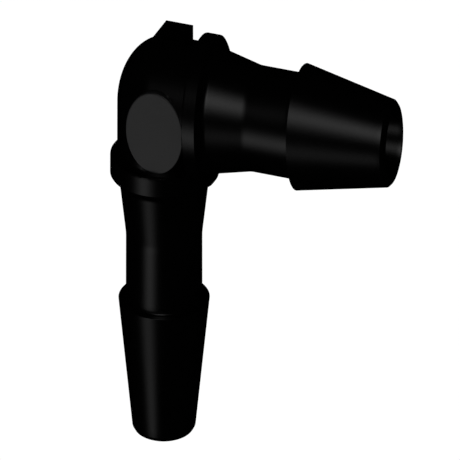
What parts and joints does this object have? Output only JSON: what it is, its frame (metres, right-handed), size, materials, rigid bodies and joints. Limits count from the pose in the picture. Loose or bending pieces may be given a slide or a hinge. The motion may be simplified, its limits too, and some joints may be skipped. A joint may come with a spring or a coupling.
{
  "type": "barbed elbow connector",
  "caption": "Black moulded plastic elbow for small irrigation tube: two barbed hose tails at a right angle, a collar at the root of each, and a round flat pad on the side.",
  "frame": {"origin": "centre of the bounding box, on the symmetry plane of the tails and halfway between them; the two tail axes cross at x = -5.885 mm, y = 0, z = 5.885 mm, the centre of the ball corner", "axes": "+X along the run tail towards its open end, -Z along the drop tail towards its open end, -Y out of the side with the round pad"},
  "size_m": [0.0184, 0.0066, 0.0184],
  "materials": {
    "black_moulding": "satin black acetal or nylon",
    "pad": "flat, slightly lighter black"
  },
  "bodies": {
    "root": {"elbow_body": "black_moulding", "round_pad": "pad"}
  },
  "joints": []
}
